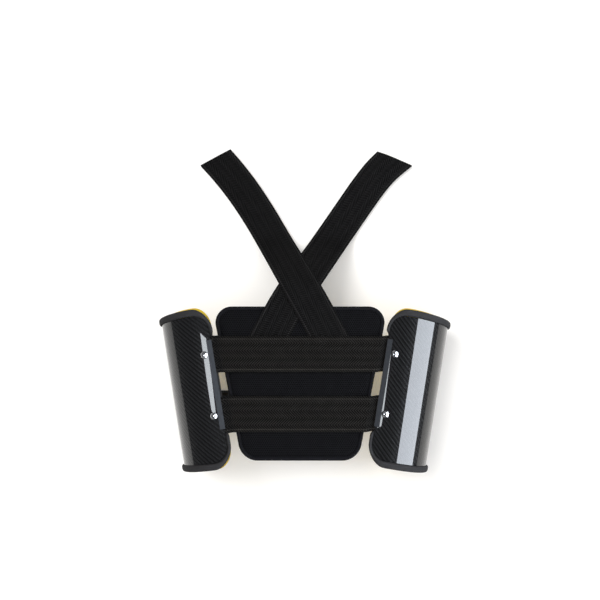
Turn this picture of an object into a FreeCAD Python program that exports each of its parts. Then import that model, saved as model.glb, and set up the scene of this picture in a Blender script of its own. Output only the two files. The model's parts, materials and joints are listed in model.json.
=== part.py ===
import FreeCAD, Part
import math
import os

os.makedirs("parts", exist_ok=True)

# Rib protector vest, lying front side down with its back up, in millimetres.
# +Z is up (away from the wearer's back), +Y towards the head, +X to the right.
# It is drawn with Y = 0 at the top edge of the back panel and Z = 0 on the floor.
# At the end everything moves sideways so that X = Y = 0 is the middle of the whole vest.

# ---- driving dimensions ----
panel_height = 251.0          # back panel, top edge to bottom edge
panel_top_half = 143.0        # half width on the line of the top edge
panel_bottom_half = 95.0      # half width on the line of the bottom edge
panel_top_corner = 24.0
panel_bottom_corner = 30.0
mesh_thick = 3.0              # spacer mesh, outer layer
foam_thick = 6.0              # foam core
lining_thick = 1.5            # smooth inner layer
binding_width = 2.5           # tape sewn round the panel's edge

shell_radius = 71.6           # outer radius of the composite shell
shell_thick = 2.2
shell_length = 240.5          # along the arch, top edge to bottom edge
shell_inner_angle = 12.0      # arch past its crown, on the panel's side
shell_front_angle = 138.0     # arch past its crown, down to the front edge
shell_lean = 9.0              # shells open outwards towards the head
shell_rise = 14.0             # shell's top edge above the panel's top edge
shell_gap = 14.65             # composite edge to panel outline at mid-height
right_shell_opening = 16.0    # the right shell lies this much further open than the left one
right_shell_out = 2.5         # and its edge lies this much further from the panel
top_edge_slope = 0.146        # top edge falls towards the front, per mm of height
bottom_edge_slope = 0.094
shell_inner_corner = 25.0
shell_front_corner = 30.0

pad_thick = 11.0              # foam behind the composite
liner_thick = 1.2             # bright lining against the body
rim_width = 12.0              # soft rim beyond the composite, top, bottom and front
rim_inner_width = 6.5         # the same on the panel's side
rim_stand = 4.0               # rim stands proud of the composite
liner_reach = 1.5             # lining shows beyond the rim

band_width = 60.0             # woven elastic
band_thick = 2.5
upper_band_y = -76.0          # centre lines of the two back bands
band_spacing = 99.0
band_drop = 3.0               # bands on the panel lie below the mean height of the two shell edges
flex_gap = 2.2                # free stretch of a band ends this far short of the clamped stretch
strap_width = 60.0
strap_thick = 2.0
strap_layer_gap = 0.6         # between the two straps where they cross
strap_edge_flat = 2.0         # straps leave the panel flat for this length

bar_leg = 7.2                 # U-shaped trim bar on the shell's inner edge
bar_wall = 1.2
bar_short = 7.0               # bar ends this far inside the bands' outer edges
mouth_margin = 12.0           # opening in the rim and pad past each end of the bar
band_clearance = 0.4
strip_width = 18.0            # aluminium backing strip under the bands
strip_inset = 2.0             # strip from the composite's inner edge
strip_thick = 1.5
rivet_gap = 0.4               # rivet head to trim bar
rivet_head_radius = 6.0
rivet_head_height = 3.2
rivet_shank_radius = 2.4
rivet_tail_radius = 4.0
rivet_tail_height = 1.2
washer_radius = 6.5
washer_thick = 1.0
hole_clearance = 0.05
pocket_clearance = 0.5
cutter_reach = 1.0            # cutting shapes go this far past what they cut
band_end_length = 27.0        # elastic clamped under the shell, from its edge

strap_sewn_start_y = -104.0   # lower ends of the straps' centre lines, under the upper band
sewn_margin = 2.0             # straps end this far inside the band that holds them
left_strap_start_x = 79.0     # the strap that goes to the left shoulder, on top
left_strap_path = ((290.0, 2.2), (60.0, 4.0), (88.0, 8.5))
left_strap_heading = 28.3
right_strap_start_x = -82.0   # the strap that goes to the right shoulder, below
right_strap_path = ((105.0, 0.0), (60.0, -6.0), (190.0, 0.0), (40.0, -3.0), (56.0, -14.0))
right_strap_heading = -28.6
fold_skews = {"left": -14.5, "right": 28.0}    # fold lines are turned this far from square
droop_angle = 50.0            # straps fall from the panel to the floor
droop_radius = 50.0
front_run_length = 150.0      # strap folded back under itself at its end
fold_gap = 0.4
hinge_half_gap = 3.0          # bare cloth each side of a fold line
hook_tab_length = 60.0
hook_thick = 2.0

belt_width = 50.0             # front closing belts
belt_length = 245.0
belt_thick = 2.2
belt_hook_length = 70.0
floor_gap = 0.2               # hook tabs lie this far above the rims' lowest point
loop_thick = 1.4              # loop patches on the outside of the shells
strap_loop_angles = (107.0, 113.0)   # from the crown, on the front half of each shell
strap_loop_top = 20.0         # from the shell's top edge
belt_loop_angles = (114.0, 136.0)

# ---- values worked out from them ----
origin = FreeCAD.Vector(0, 0, 0)
x_axis = FreeCAD.Vector(1, 0, 0)
y_axis = FreeCAD.Vector(0, 1, 0)
z_axis = FreeCAD.Vector(0, 0, 1)
far = 1000.0

lean = math.radians(shell_lean)
panel_middle_half = (panel_top_half + panel_bottom_half) / 2
shell_edge_u = (panel_middle_half + shell_gap) * math.cos(lean) + panel_height / 2 * math.sin(lean)
shell_axis_u = shell_edge_u + shell_radius * math.sin(math.radians(shell_inner_angle))

rim_outer_radius = shell_radius + rim_stand
rivet_inset = bar_leg + rivet_gap + rivet_head_radius
pad_outer_radius = shell_radius - shell_thick
pad_inner_radius = pad_outer_radius - pad_thick
rim_front_angle = shell_front_angle + math.degrees(rim_width / shell_radius)
shell_axis_z = -rim_outer_radius * math.cos(math.radians(rim_front_angle))
crown_z = shell_axis_z + shell_radius
shell_top = shell_rise
shell_bottom = shell_rise - shell_length

band_outer_radius = shell_radius - shell_thick - bar_wall
band_inner_radius = band_outer_radius - band_thick
strip_inner_radius = band_inner_radius - strip_thick
hinge_radius = (band_outer_radius + band_inner_radius) / 2
band_edge_z = shell_axis_z + hinge_radius * math.cos(math.radians(shell_inner_angle))

# The open right shell is lowered until its rim's front edge is on the floor too.
right_axis_drop = hinge_radius * math.cos(math.radians(shell_inner_angle + right_shell_opening))
right_rim_low = rim_outer_radius * math.cos(math.radians(rim_front_angle - right_shell_opening))
right_edge_z = right_axis_drop - right_rim_low

band_mid_z = (band_edge_z + right_edge_z) / 2 - band_drop
band_under_z = band_mid_z - band_thick / 2
panel_top_z = band_under_z - 2 * strap_thick
foam_top_z = panel_top_z - mesh_thick
lining_top_z = foam_top_z - foam_thick
panel_bottom_z = lining_top_z - lining_thick
band_centres = {"upper": upper_band_y, "lower": upper_band_y - band_spacing}
right_shell_move = FreeCAD.Vector(right_shell_out, 0, right_edge_z - band_edge_z)

strap_hinge_y = binding_width + hinge_half_gap
strap_hinge_z = panel_top_z + strap_thick


def leaned(shape):
    """Turn a piece drawn along Y to the lean of the left shell."""
    copy = shape.copy()
    copy.rotate(origin, z_axis, shell_lean)
    return copy


def mirrored(shape):
    """The same piece for the other side of the body."""
    return shape.mirror(origin, x_axis)


def placed_right(shape):
    """A left shell's piece, mirrored, opened about its inner edge and set on the floor."""
    copy = mirrored(shape)
    edge = shell_edge_point(0.0)
    pivot = FreeCAD.Vector(-edge.x, edge.y, edge.z)
    copy.rotate(pivot, FreeCAD.Vector(-math.sin(lean), -math.cos(lean), 0), right_shell_opening)
    copy.translate(right_shell_move)
    return copy


def lean_point(u, v, z):
    """World place of a point given along and across the left shell's lean."""
    x = u * math.cos(lean) - v * math.sin(lean)
    y = u * math.sin(lean) + v * math.cos(lean)
    return FreeCAD.Vector(x, y, z)


def arch_point(angle, radius, v):
    """Point on the left shell's arch; angle runs from the crown to the outside."""
    a = math.radians(angle)
    return FreeCAD.Vector(-shell_axis_u - radius * math.sin(a), v, shell_axis_z + radius * math.cos(a))


def arc_angle(length):
    """Angle of an arc of this length on the shell's outer face."""
    return math.degrees(length / shell_radius)


def polygon_face(points):
    return Part.Face(Part.makePolygon(points + [points[0]]))


def slab_between(y_low, y_high):
    """Block over everything between two values of Y."""
    return Part.makeBox(2 * far, y_high - y_low, 2 * far, FreeCAD.Vector(-far, y_low, -far))


def ribbon(start, heading, path, width, to_space):
    """Flat face of constant width along a path of (length, turn) pieces."""
    half = width / 2
    x, y = start
    angle = math.radians(heading)
    sides = {1: [], -1: []}

    def side_point(px, py, direction, side):
        return to_space(px - side * half * math.sin(direction), py + side * half * math.cos(direction))

    for length, turn in path:
        swing = math.radians(turn)
        stops = []
        for part in (0.0, 0.5, 1.0):
            direction = angle + swing * part
            if turn:
                bend = length / swing
                px = x + bend * (math.sin(direction) - math.sin(angle))
                py = y - bend * (math.cos(direction) - math.cos(angle))
            else:
                px = x + length * part * math.cos(angle)
                py = y + length * part * math.sin(angle)
            stops.append((px, py, direction))
        for side in sides:
            ends = [side_point(px, py, direction, side) for px, py, direction in stops]
            if turn:
                sides[side].append(Part.Arc(*ends).toShape())
            else:
                sides[side].append(Part.LineSegment(ends[0], ends[2]).toShape())
        x, y, angle = stops[2]
    first = Part.LineSegment(sides[1][0].Vertexes[0].Point, sides[-1][0].Vertexes[0].Point)
    last = Part.LineSegment(sides[1][-1].Vertexes[-1].Point, sides[-1][-1].Vertexes[-1].Point)
    edges = sides[1] + [last.toShape()] + sides[-1] + [first.toShape()]
    return Part.Face(Part.Wire(Part.__sortEdges__(edges)))


# ---- back panel: mesh, foam, lining and binding ----
def panel_outline(grow):
    """Rounded trapezoid in plan, grown outwards by a given width."""
    slope = math.atan2(panel_top_half - panel_bottom_half, panel_height)
    side = grow / math.cos(slope)
    spread = grow * math.tan(slope)
    top = panel_top_half + side + spread
    bottom = panel_bottom_half + side - spread
    corners = [(-top, grow), (top, grow), (bottom, -panel_height - grow), (-bottom, -panel_height - grow)]
    face = polygon_face([FreeCAD.Vector(x, y, 0) for x, y in corners])
    block = face.extrude(FreeCAD.Vector(0, 0, 1))
    uprights = [e for e in block.Edges if abs(e.tangentAt(e.FirstParameter).z) > 0.99]
    upper = [e for e in uprights if e.CenterOfMass.y > -panel_height / 2]
    block = block.makeFillet(panel_top_corner + grow, upper)
    lower = [e for e in block.Edges if len(e.Vertexes) == 2
             and abs(e.Vertexes[0].X - e.Vertexes[1].X) < 1e-6
             and abs(e.Vertexes[0].Y - e.Vertexes[1].Y) < 1e-6
             and e.CenterOfMass.y < -panel_height - grow + 1e-3]
    block = block.makeFillet(panel_bottom_corner + grow, lower)
    return [f for f in block.Faces if f.CenterOfMass.z < 1e-6][0]


def panel_layer(low, high, grow=0.0):
    face = panel_outline(grow)
    face.translate(FreeCAD.Vector(0, 0, low))
    return face.extrude(FreeCAD.Vector(0, 0, high - low))


def panel_nodes():
    nodes = {}
    nodes["panel_mesh"] = panel_layer(foam_top_z, panel_top_z)
    nodes["panel_foam"] = panel_layer(lining_top_z, foam_top_z)
    nodes["panel_lining"] = panel_layer(panel_bottom_z, lining_top_z)
    outside = panel_layer(panel_bottom_z, panel_top_z, binding_width)
    nodes["panel_binding"] = outside.cut(panel_layer(panel_bottom_z, panel_top_z))
    return nodes


# ---- elastic bands across the back ----
def panel_side_x(y):
    """Half width of the panel's straight side at a given Y."""
    return panel_top_half + (panel_top_half - panel_bottom_half) * y / panel_height


def shell_edge_point(y):
    """Point of the left shell's hinge line at a given Y."""
    v = (y + shell_edge_u * math.sin(lean)) / math.cos(lean)
    edge = arch_point(-shell_inner_angle, hinge_radius, v)
    return lean_point(edge.x, v, edge.z)


def band_section(point_low, point_high):
    half = FreeCAD.Vector(0, 0, band_thick / 2)
    corners = [point_low - half, point_high - half, point_high + half, point_low + half]
    return Part.makePolygon(corners + [corners[0]])


def band_flex(y_low, y_high, side):
    """Free stretch of a band, from the panel's edge to a shell's edge."""
    dip = math.radians(shell_inner_angle + (right_shell_opening if side == "right" else 0.0))
    step = FreeCAD.Vector(flex_gap * math.cos(dip), 0, -flex_gap * math.sin(dip))
    panel_side = [FreeCAD.Vector(-panel_side_x(y), y, band_mid_z) for y in (y_low, y_high)]
    shell_side = [shell_edge_point(y) + step for y in (y_low, y_high)]
    if side == "right":
        panel_side = [FreeCAD.Vector(-p.x, p.y, p.z) for p in panel_side]
        shell_side = [FreeCAD.Vector(-p.x, p.y, p.z) + right_shell_move for p in shell_side]
    return Part.makeLoft([band_section(*panel_side), band_section(*shell_side)], True, True)


def band_nodes():
    """Each band is one strip of elastic; it is split where it leaves the panel and at the shells."""
    nodes = {}
    for level, centre in band_centres.items():
        y_low = centre - band_width / 2
        y_high = centre + band_width / 2
        on_panel = panel_layer(band_under_z, band_under_z + band_thick)
        nodes[level + "_band"] = on_panel.common(slab_between(y_low, y_high))
        for side in ("left", "right"):
            nodes[level + "_band_flex_" + side] = band_flex(y_low, y_high, side)
    return nodes


# ---- side shells ----
def wrapped(limits, inner_radius, outer_radius, corners=None, grow=0.0):
    """Curved wall of the left side: limits are inner angle, front angle, bottom and top."""
    inner_angle, front_angle, bottom, top = limits
    middle = (front_angle - inner_angle) / 2
    outer = Part.Arc(arch_point(-inner_angle, outer_radius, -far), arch_point(middle, outer_radius, -far),
                     arch_point(front_angle, outer_radius, -far)).toShape()
    inner = Part.Arc(arch_point(-inner_angle, inner_radius, -far), arch_point(middle, inner_radius, -far),
                     arch_point(front_angle, inner_radius, -far)).toShape()
    ends = []
    for angle in (-inner_angle, front_angle):
        line = Part.LineSegment(arch_point(angle, outer_radius, -far), arch_point(angle, inner_radius, -far))
        ends.append(line.toShape())
    wire = Part.Wire(Part.__sortEdges__([outer, ends[0], inner, ends[1]]))
    wall = Part.Face(wire).extrude(FreeCAD.Vector(0, 2 * far, 0))
    low_z = shell_axis_z - 2 * shell_radius
    high_z = shell_axis_z + 2 * shell_radius
    frame = []
    for y, slope, z in ((bottom, bottom_edge_slope, low_z), (bottom, bottom_edge_slope, high_z),
                        (top, top_edge_slope, high_z), (top, top_edge_slope, low_z)):
        frame.append(FreeCAD.Vector(-far, y + slope * (z - crown_z), z))
    wall = wall.common(polygon_face(frame).extrude(FreeCAD.Vector(2 * far, 0, 0))).Solids[0]
    if corners:
        for angle, radius in ((-inner_angle, corners[0]), (front_angle, corners[1])):
            for edge, slope in ((bottom, bottom_edge_slope), (top, top_edge_slope)):
                wall = wall.cut(corner_waste(angle, limits, edge, slope, radius + grow)).Solids[0]
    return wall


def corner_waste(angle, limits, edge, slope, radius):
    """What a rounded corner takes away where one end of the arch meets a top or bottom edge."""
    a = math.radians(angle)
    along = 1.0 if angle > 0 else -1.0
    normal_1 = FreeCAD.Vector(-math.cos(a), 0, -math.sin(a)) * along
    across = 1.0 if edge == limits[3] else -1.0
    normal_2 = FreeCAD.Vector(0, across, -across * slope).normalize()
    place = arch_point(angle, shell_radius, 0)
    corner = FreeCAD.Vector(place.x, edge + slope * (place.z - crown_z), place.z)
    share = 1 + normal_1.dot(normal_2)
    centre = corner - (normal_1 + normal_2) * (radius / share)
    touch_1 = centre + normal_1 * radius
    touch_2 = centre + normal_2 * radius
    margin = radius / 5
    outline = [centre, touch_1, touch_1 + normal_1 * margin,
               corner + (normal_1 + normal_2) * (margin / share), touch_2 + normal_2 * margin, touch_2]
    pin = normal_1.cross(normal_2).normalize()
    half = pin * shell_radius / 2
    block = polygon_face([point - half for point in outline]).extrude(half * 2)
    return block.cut(Part.makeCylinder(radius, half.Length * 2, centre - half, pin))


def shell_limits(grow=0.0, grow_inner=None):
    """Outline of the composite, grown by an arc length on every side."""
    inner = grow if grow_inner is None else grow_inner
    return (shell_inner_angle + arc_angle(inner), shell_front_angle + arc_angle(grow),
            shell_bottom - grow, shell_top + grow)


def rivet_line_v(level):
    """Place along the left shell of the rivet at the middle of a band."""
    return (band_centres[level] + (shell_edge_u + rivet_inset) * math.sin(lean)) / math.cos(lean)


def radial_cylinder(v, radius, low_radius, high_radius):
    """Pin along the shell's radius, on the rivet line."""
    angle = -shell_inner_angle + arc_angle(rivet_inset)
    foot = arch_point(angle, low_radius, v)
    direction = arch_point(angle, high_radius, v) - foot
    return Part.makeCylinder(radius, high_radius - low_radius, foot, direction)


def rivet_dome(v):
    """Low domed head standing on the composite."""
    ball_radius = (rivet_head_radius ** 2 + rivet_head_height ** 2) / (2 * rivet_head_height)
    angle = -shell_inner_angle + arc_angle(rivet_inset)
    foot = arch_point(angle, shell_radius, v)
    outwards = (arch_point(angle, rim_outer_radius, v) - foot).normalize()
    centre = foot + outwards * (rivet_head_height - ball_radius)
    ball = Part.makeSphere(ball_radius, centre)
    return ball.common(Part.makeCylinder(rivet_head_radius, rivet_head_height, foot, outwards))


def rivet(v):
    """Dome head, shank and formed tail in one solid."""
    tail_top = strip_inner_radius - washer_thick
    shank_low = tail_top - rivet_tail_height / 2
    shank = radial_cylinder(v, rivet_shank_radius, shank_low, shell_radius + rivet_head_height / 4)
    tail = radial_cylinder(v, rivet_tail_radius, tail_top - rivet_tail_height, tail_top)
    # The head's flat seat is trimmed to the arch so that it lies on the composite.
    seat = wrapped((shell_inner_angle, shell_front_angle, shell_bottom, shell_top), pad_inner_radius,
                   shell_radius)
    head = rivet_dome(v).fuse(radial_cylinder(v, rivet_head_radius, shell_radius - cutter_reach, shell_radius))
    return head.cut(seat).fuse(shank).fuse(tail).removeSplitter()


def bar_span():
    """Bottom and top of the trim bar and of the backing strip."""
    low = rivet_line_v("lower") - band_width / 2 + bar_short
    high = rivet_line_v("upper") + band_width / 2 - bar_short
    return low, high


def loop_patch(angle_from, angle_to, v_low, v_high):
    """Flat patch of loop fabric glued to the outside of a shell."""
    return wrapped((-angle_from, angle_to, v_low, v_high), shell_radius, shell_radius + loop_thick)


def side_nodes():
    """Every piece of the left side, in its own straight frame."""
    corners = (shell_inner_corner, shell_front_corner)
    bar_low, bar_high = bar_span()
    levels = {level: rivet_line_v(level) for level in band_centres}
    holes = [radial_cylinder(v, rivet_shank_radius + hole_clearance, pad_inner_radius, rim_outer_radius)
             for v in levels.values()]

    shell = wrapped(shell_limits(), pad_outer_radius, shell_radius, corners)
    bar_in = arc_angle(bar_leg)
    bar_out = arc_angle(bar_wall)
    bar_block = wrapped((shell_inner_angle + bar_out, -shell_inner_angle + bar_in, bar_low, bar_high),
                        pad_outer_radius - bar_wall, shell_radius + bar_wall)
    slot = wrapped((shell_inner_angle, -shell_inner_angle + 2 * bar_in, shell_bottom, shell_top),
                   pad_outer_radius, shell_radius)
    bar = bar_block.cut(slot)

    strip_from = shell_inner_angle - arc_angle(strip_inset)
    strip_to = -strip_from + arc_angle(strip_width)
    strip = wrapped((strip_from, strip_to, bar_low, bar_high), strip_inner_radius, band_inner_radius)

    end_to = -shell_inner_angle + arc_angle(band_end_length)
    end_layer = wrapped((shell_inner_angle, end_to, shell_bottom, shell_top), band_inner_radius,
                        band_outer_radius)

    pocket_floor = strip_inner_radius - washer_thick - rivet_tail_height - pocket_clearance
    mouth_low = bar_low - mouth_margin
    mouth_high = bar_high + mouth_margin
    rim_edge = shell_inner_angle + arc_angle(rim_inner_width)
    pocket = wrapped((rim_edge, end_to + cutter_reach, mouth_low, mouth_high), pocket_floor, pad_outer_radius)
    pad = wrapped(shell_limits(), pad_inner_radius, pad_outer_radius, corners).cut(pocket)

    rim_limits = shell_limits(rim_width, rim_inner_width)
    rim = wrapped(rim_limits, pad_inner_radius, rim_outer_radius, corners, rim_inner_width)
    core = wrapped(shell_limits(), pad_inner_radius - cutter_reach, rim_outer_radius + cutter_reach, corners)
    mouth = wrapped((shell_inner_angle + arc_angle(2 * rim_inner_width), 0.0, mouth_low, mouth_high),
                    band_inner_radius - band_clearance, rim_outer_radius + cutter_reach)
    rim = rim.cut(core).cut(mouth).cut(pocket)

    liner_limits = shell_limits(rim_width + liner_reach, rim_inner_width + liner_reach)
    liner = wrapped(liner_limits, pad_inner_radius - liner_thick, pad_inner_radius, corners,
                    rim_inner_width + liner_reach)

    washers = []
    for v in levels.values():
        ring = radial_cylinder(v, washer_radius, strip_inner_radius - washer_thick, strip_inner_radius)
        washers.append(ring)
    for hole in holes:
        shell = shell.cut(hole)
        strip = strip.cut(hole)
        end_layer = end_layer.cut(hole)
        washers = [washer.cut(hole) for washer in washers]
    strip_block = wrapped((strip_from + cutter_reach, strip_to + cutter_reach,
                           bar_low - cutter_reach, bar_high + cutter_reach),
                          strip_inner_radius, shell_radius)
    washers = [washer.cut(strip_block) for washer in washers]

    nodes = {}
    nodes["carbon_shell"] = leaned(shell)
    nodes["edge_bar"] = leaned(bar)
    nodes["backing_strip"] = leaned(strip)
    nodes["foam_pad"] = leaned(pad)
    nodes["soft_rim"] = leaned(rim)
    nodes["body_lining"] = leaned(liner)
    nodes["rivets"] = Part.makeCompound([leaned(rivet(v)) for v in levels.values()])
    nodes["rivet_washers"] = Part.makeCompound([leaned(washer) for washer in washers])
    for level, centre in band_centres.items():
        cut = slab_between(centre - band_width / 2, centre + band_width / 2)
        nodes[level + "_band_end"] = leaned(end_layer).common(cut)
    loop_low = shell_top - strap_loop_top - strap_width
    strap_loop = loop_patch(*strap_loop_angles, loop_low, loop_low + strap_width)
    nodes["strap_loop_patch"] = leaned(strap_loop)
    return nodes


def belt_loop_patches():
    """Patches on the right shell that the front belts close on, drawn on the left."""
    patches = []
    for level in band_centres:
        v = rivet_line_v(level)
        patches.append(leaned(loop_patch(*belt_loop_angles, v - belt_width / 2, v + belt_width / 2)))
    return Part.makeCompound(patches)


# ---- shoulder straps ----
def plan_point(x, y):
    return FreeCAD.Vector(x, y, 0)


def side_point_in_plane(y, z):
    return FreeCAD.Vector(0, y, z)


def strap_plan(start_x, heading, path):
    """Outline of a strap seen from above, as a tall block that runs on past the fold line."""
    longer = path + ((strap_width, 0.0),)
    face = ribbon((start_x, strap_sewn_start_y), 90.0 + heading, longer, strap_width, plan_point)
    return face.extrude(FreeCAD.Vector(0, 0, far))


def droop_sheet(side):
    """Sheet that leaves the panel's edge, falls to the floor and lies along it."""
    turn = math.radians(droop_angle)
    lift = floor_mids[side] - floor_mids["right"]
    slant = (start_mids[side] - floor_mids[side] - 2 * droop_radius * (1 - math.cos(turn))) / math.sin(turn)
    over_edge = (droop_radius + lift) * turn
    to_floor = (droop_radius - lift) * turn
    path = ((strap_edge_flat, 0.0), (over_edge, -droop_angle), (slant, 0.0), (to_floor, droop_angle),
            (far / 2, 0.0))
    start = (strap_hinge_y + hinge_half_gap, start_mids[side])
    face = ribbon(start, 0.0, path, strap_thick, side_point_in_plane)
    face.translate(FreeCAD.Vector(-far, 0, 0))
    return face.extrude(FreeCAD.Vector(2 * far, 0, 0))


def path_end(side):
    """End point of a strap's centre line, and the direction square to its fold line."""
    x, heading, path = strap_paths[side]
    y = strap_sewn_start_y
    angle = math.radians(90.0 + heading)
    for length, turn in path:
        swing = math.radians(turn)
        if turn:
            bend = length / swing
            x += bend * (math.sin(angle + swing) - math.sin(angle))
            y -= bend * (math.cos(angle + swing) - math.cos(angle))
        else:
            x += length * math.cos(angle)
            y += length * math.sin(angle)
        angle += swing
    angle += math.radians(fold_skews[side])
    return FreeCAD.Vector(x, y, 0), FreeCAD.Vector(math.cos(angle), math.sin(angle), 0)


def behind_line(point, direction, near, reach):
    """Block between two distances back from a line across the strap's end."""
    box = Part.makeBox(reach - near, 2 * far, far, FreeCAD.Vector(-reach, -far, -1.0))
    angle = math.degrees(math.atan2(direction.y, direction.x))
    box.rotate(origin, z_axis, angle)
    box.translate(point)
    return box


front_low_z = floor_gap + hook_thick
strap_step = strap_thick + strap_layer_gap
floor_mids = {"right": front_low_z + strap_thick + fold_gap + strap_thick / 2}
floor_mids["left"] = floor_mids["right"] + strap_step
start_mids = {"left": strap_hinge_z + strap_step / 2, "right": strap_hinge_z - strap_step / 2}
strap_paths = {
    "left": (left_strap_start_x, left_strap_heading, left_strap_path),
    "right": (right_strap_start_x, right_strap_heading, right_strap_path),
}
fold_mids = {side: (mid + front_low_z + strap_thick / 2) / 2 for side, mid in floor_mids.items()}


def flat_layer(low, thick):
    """Slab over the whole floor."""
    return Part.makeBox(2 * far, 2 * far, thick, FreeCAD.Vector(-far, -far, low))


def strap_nodes():
    """Left strap lies over the right one where they cross behind the neck."""
    nodes = {}
    base_lows = {"left": panel_top_z + strap_thick, "right": panel_top_z}
    sewn_end_y = band_centres["upper"] - band_width / 2 + sewn_margin
    base_end_y = strap_hinge_y - hinge_half_gap
    for side, plan_values in strap_paths.items():
        plan = strap_plan(*plan_values)
        layer = Part.makeBox(2 * far, base_end_y - sewn_end_y, strap_thick,
                             FreeCAD.Vector(-far, sewn_end_y, base_lows[side]))
        nodes["strap_base_" + side] = plan.common(layer)
        end, direction = path_end(side)
        run = plan.common(droop_sheet(side))
        nodes["strap_run_" + side] = run.common(behind_line(end, direction, 0.0, far))
        front = plan.common(behind_line(end, direction, hinge_half_gap, front_run_length))
        nodes["strap_front_" + side] = front.common(flat_layer(front_low_z, strap_thick))
        near = front_run_length - hook_tab_length
        tab = plan.common(behind_line(end, direction, near, front_run_length))
        nodes["strap_hook_tab_" + side] = tab.common(flat_layer(floor_gap, hook_thick))
    return nodes


# ---- front closing belts, lying open on the floor under the vest ----
def belt_start_x(level):
    """Sewn end of a belt, just inside the front edge of the left shell's rim."""
    edge = arch_point(rim_front_angle, (pad_inner_radius + rim_outer_radius) / 2, 0)
    y = band_centres[level] - belt_width / 2
    v = (y - edge.x * math.sin(lean)) / math.cos(lean)
    return lean_point(edge.x, v, 0).x + hinge_half_gap


def belt_nodes():
    nodes = {}
    for level, centre in band_centres.items():
        x = belt_start_x(level) + hinge_half_gap
        low = floor_gap + hook_thick
        y = centre - belt_width / 2
        nodes[level + "_belt"] = Part.makeBox(belt_length, belt_width, belt_thick, FreeCAD.Vector(x, y, low))
        tab_x = x + belt_length - belt_hook_length
        corner = FreeCAD.Vector(tab_x, y, floor_gap)
        nodes[level + "_belt_hook_tab"] = Part.makeBox(belt_hook_length, belt_width, hook_thick, corner)
    return nodes


# ---- the whole vest ----
def all_nodes():
    nodes = {}
    nodes.update(panel_nodes())
    nodes.update(band_nodes())
    nodes.update(strap_nodes())
    for name, shape in side_nodes().items():
        nodes[name + "_left"] = shape
        nodes[name + "_right"] = placed_right(shape)
    nodes["belt_loop_patches_right"] = placed_right(belt_loop_patches())
    nodes.update(belt_nodes())
    return nodes


nodes = all_nodes()
whole = Part.makeCompound(list(nodes.values())).optimalBoundingBox(False, False)
shift = FreeCAD.Vector(-whole.Center.x, -whole.Center.y, -whole.ZMin)
for name, shape in nodes.items():
    placed = shape.copy()
    placed.translate(shift)
    nodes[name] = placed
    placed.exportStep("parts/" + name + ".step")
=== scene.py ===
import json
import math

import bmesh
import bpy
import numpy as np
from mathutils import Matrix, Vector


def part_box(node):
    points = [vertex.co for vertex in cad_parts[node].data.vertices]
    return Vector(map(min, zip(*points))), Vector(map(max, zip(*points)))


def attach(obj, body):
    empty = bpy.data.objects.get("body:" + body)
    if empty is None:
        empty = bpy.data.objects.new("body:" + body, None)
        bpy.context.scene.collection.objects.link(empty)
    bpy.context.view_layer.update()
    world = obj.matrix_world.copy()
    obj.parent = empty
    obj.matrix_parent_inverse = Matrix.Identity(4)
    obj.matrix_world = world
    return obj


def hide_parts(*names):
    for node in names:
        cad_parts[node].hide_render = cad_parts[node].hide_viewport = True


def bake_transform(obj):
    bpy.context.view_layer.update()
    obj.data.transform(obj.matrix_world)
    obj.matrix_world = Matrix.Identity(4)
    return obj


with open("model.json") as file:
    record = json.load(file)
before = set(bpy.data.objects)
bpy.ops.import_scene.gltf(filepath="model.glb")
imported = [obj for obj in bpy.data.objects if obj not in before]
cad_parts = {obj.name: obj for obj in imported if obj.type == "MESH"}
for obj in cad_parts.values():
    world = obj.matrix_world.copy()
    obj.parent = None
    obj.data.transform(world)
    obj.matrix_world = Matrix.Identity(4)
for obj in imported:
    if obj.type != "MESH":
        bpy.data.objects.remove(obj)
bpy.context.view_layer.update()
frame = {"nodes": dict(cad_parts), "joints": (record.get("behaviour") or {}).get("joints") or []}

# ==== Camera, table top and studio light ====
# The vest lies front side down on a white table, its back towards a camera straight above.
# A tall softbox to the right and a small one over the left shell show in the gloss; a soft ceiling
# and a broad light from the upper left do the rest.
panel_low, panel_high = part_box("panel_mesh")
panel_middle = (panel_low.x + panel_high.x) / 2
panel_top = panel_high.y
camera_rise = 1.286          # above the table
camera_beyond_top = 0.0132   # towards the head from the panel's top edge
focal_share = 710 / 600      # focal length over image width

camera = bpy.data.objects.new("camera", bpy.data.cameras.new("camera"))
bpy.context.collection.objects.link(camera)
camera.data.lens = camera.data.sensor_width * focal_share
camera.location = (panel_middle, panel_top + camera_beyond_top, camera_rise)
camera.data.clip_start = 0.05
bpy.context.scene.camera = camera
bpy.context.scene.view_settings.view_transform = "Standard"


def add(tree, kind, *inputs, out=0, **settings):
    """Adds a shading node; each input is a number, a colour or another node's output."""
    made = tree.nodes.new("ShaderNode" + kind)
    for key, value in settings.items():
        setattr(made, key, value)
    for place, value in enumerate(inputs):
        if isinstance(value, bpy.types.NodeSocket):
            tree.links.new(value, made.inputs[place])
        elif value is not None:
            made.inputs[place].default_value = value
    return made.outputs[out]


def new_finish(name, **sockets):
    """Material whose uniform values sit on the shader's own sockets."""
    finish = bpy.data.materials.new(name)
    finish.use_nodes = True
    shader = finish.node_tree.nodes["Principled BSDF"]
    for key, value in sockets.items():
        words = [word.upper() if word == "ior" else word.capitalize() for word in key.split("_")]
        shader.inputs[" ".join(words)].default_value = value
    return finish, finish.node_tree, shader


def wire(tree, shader, colour=None, roughness=None, height=None, depth=0.0):
    """Joins colour, roughness and a height in metres to the shader."""
    if colour is not None:
        tree.links.new(colour, shader.inputs["Base Color"])
    if roughness is not None:
        tree.links.new(roughness, shader.inputs["Roughness"])
    if height is not None:
        bump = tree.nodes.new("ShaderNodeBump")
        bump.inputs["Distance"].default_value = depth
        tree.links.new(height, bump.inputs["Height"])
        tree.links.new(bump.outputs[0], shader.inputs["Normal"])


def sums(tree, operation, first, second=None, third=None):
    return add(tree, "Math", first, second, third, operation=operation)


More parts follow.
